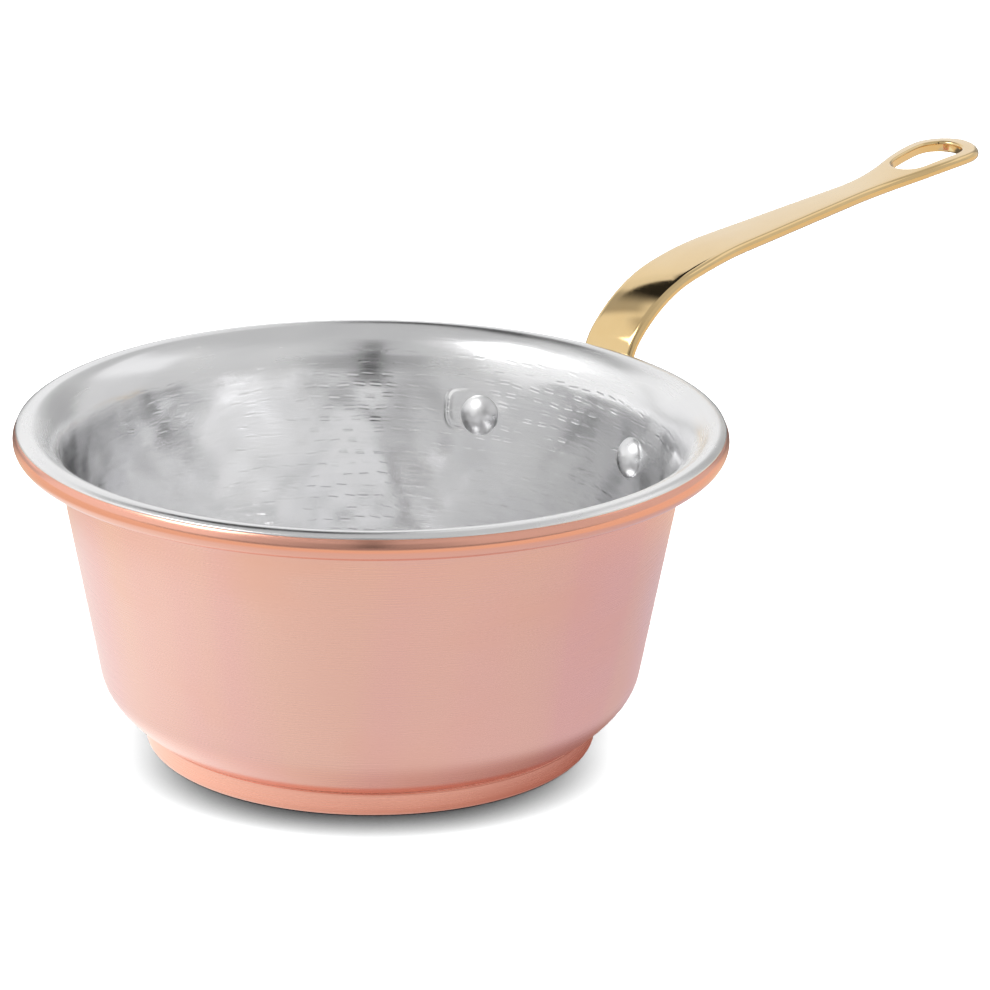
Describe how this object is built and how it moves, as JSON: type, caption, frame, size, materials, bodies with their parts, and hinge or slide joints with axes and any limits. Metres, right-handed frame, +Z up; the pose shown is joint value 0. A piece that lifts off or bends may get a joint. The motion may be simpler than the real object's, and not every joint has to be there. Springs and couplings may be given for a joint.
{
  "type": "saucepan",
  "caption": "Spun copper saucepan with a rolled rim, stepped foot and tin lining, and a riveted brass strap handle that ends in a hanging eye.",
  "frame": {"origin": "centre of the underside of the foot, on the pan's axis", "axes": "+Z up along the pan's axis, +X along the handle"},
  "size_m": [0.3387, 0.18, 0.1108],
  "materials": {
    "copper": "copper, spun and polished to a satin gloss",
    "tin": "wiped tin over planished copper",
    "brass": "cast brass, polished",
    "rivet": "tinned, polished"
  },
  "bodies": {
    "root": {"copper_body": "copper", "tin_lining": "tin", "brass_handle": "brass", "rivet_left": "rivet", "rivet_right": "rivet"}
  },
  "joints": []
}
